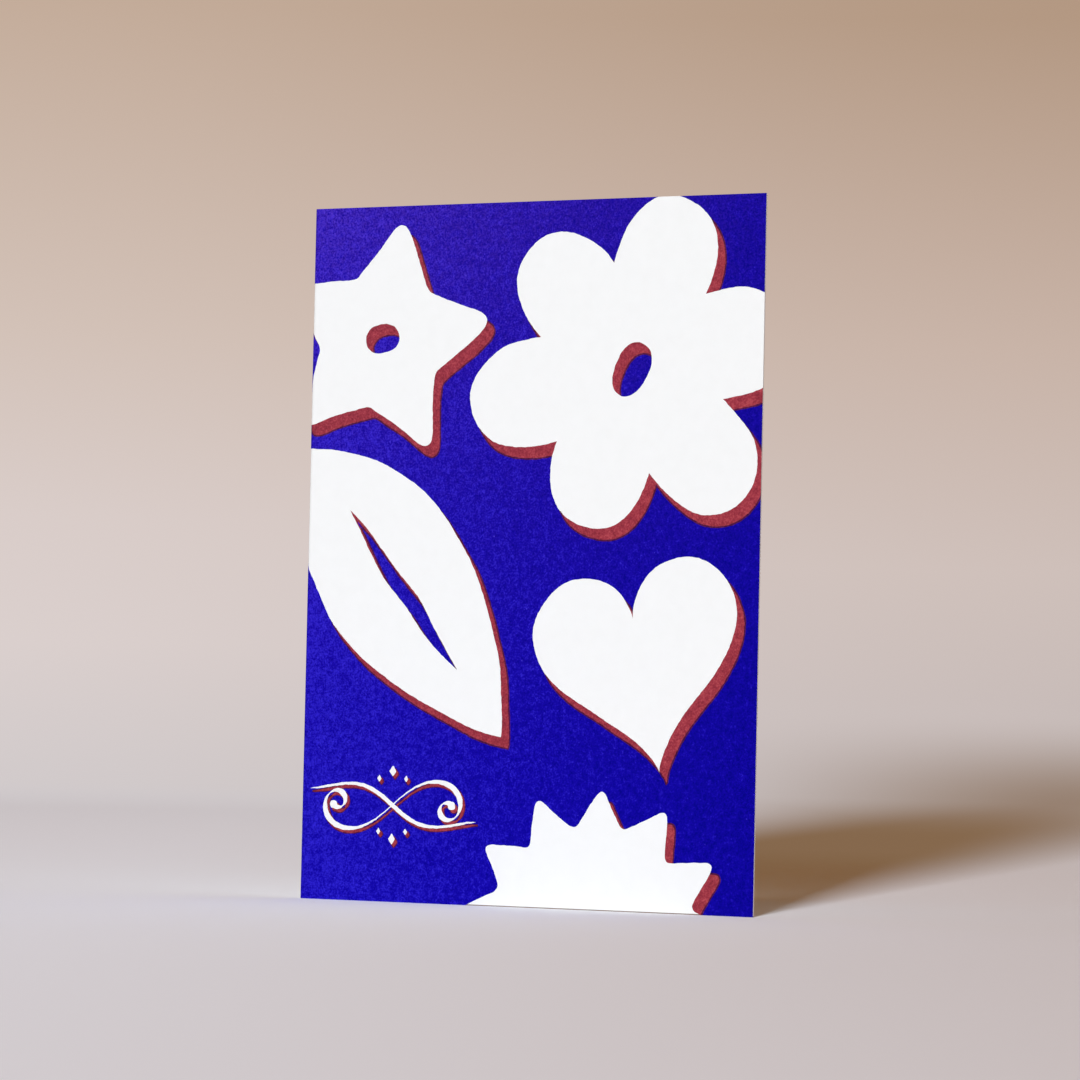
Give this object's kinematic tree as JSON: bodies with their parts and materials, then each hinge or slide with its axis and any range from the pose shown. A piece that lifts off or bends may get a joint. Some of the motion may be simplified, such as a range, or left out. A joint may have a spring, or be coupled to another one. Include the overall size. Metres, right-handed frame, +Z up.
{
  "type": "greeting card",
  "caption": "Folded portrait greeting card of thick uncoated paper, printed on its front, standing ajar on its lower edge like a V seen from above.",
  "frame": {"origin": "centre of the card's bounding box, on the surface that it stands on", "axes": "+Z up along the crease, +X from the crease to the open edges, printed front on the -Y side"},
  "size_m": [0.095, 0.0896, 0.148],
  "materials": {
    "paper": "smooth uncoated white card, matte",
    "blue_ink": "grainy ultramarine stencil ink on paper, matte",
    "red_ink": "grainy brick red stencil ink on paper, matte",
    "overprint_ink": "red ink over blue ink, dark plum, matte"
  },
  "bodies": {
    "root": {"folded_card": "paper"}
  },
  "joints": []
}
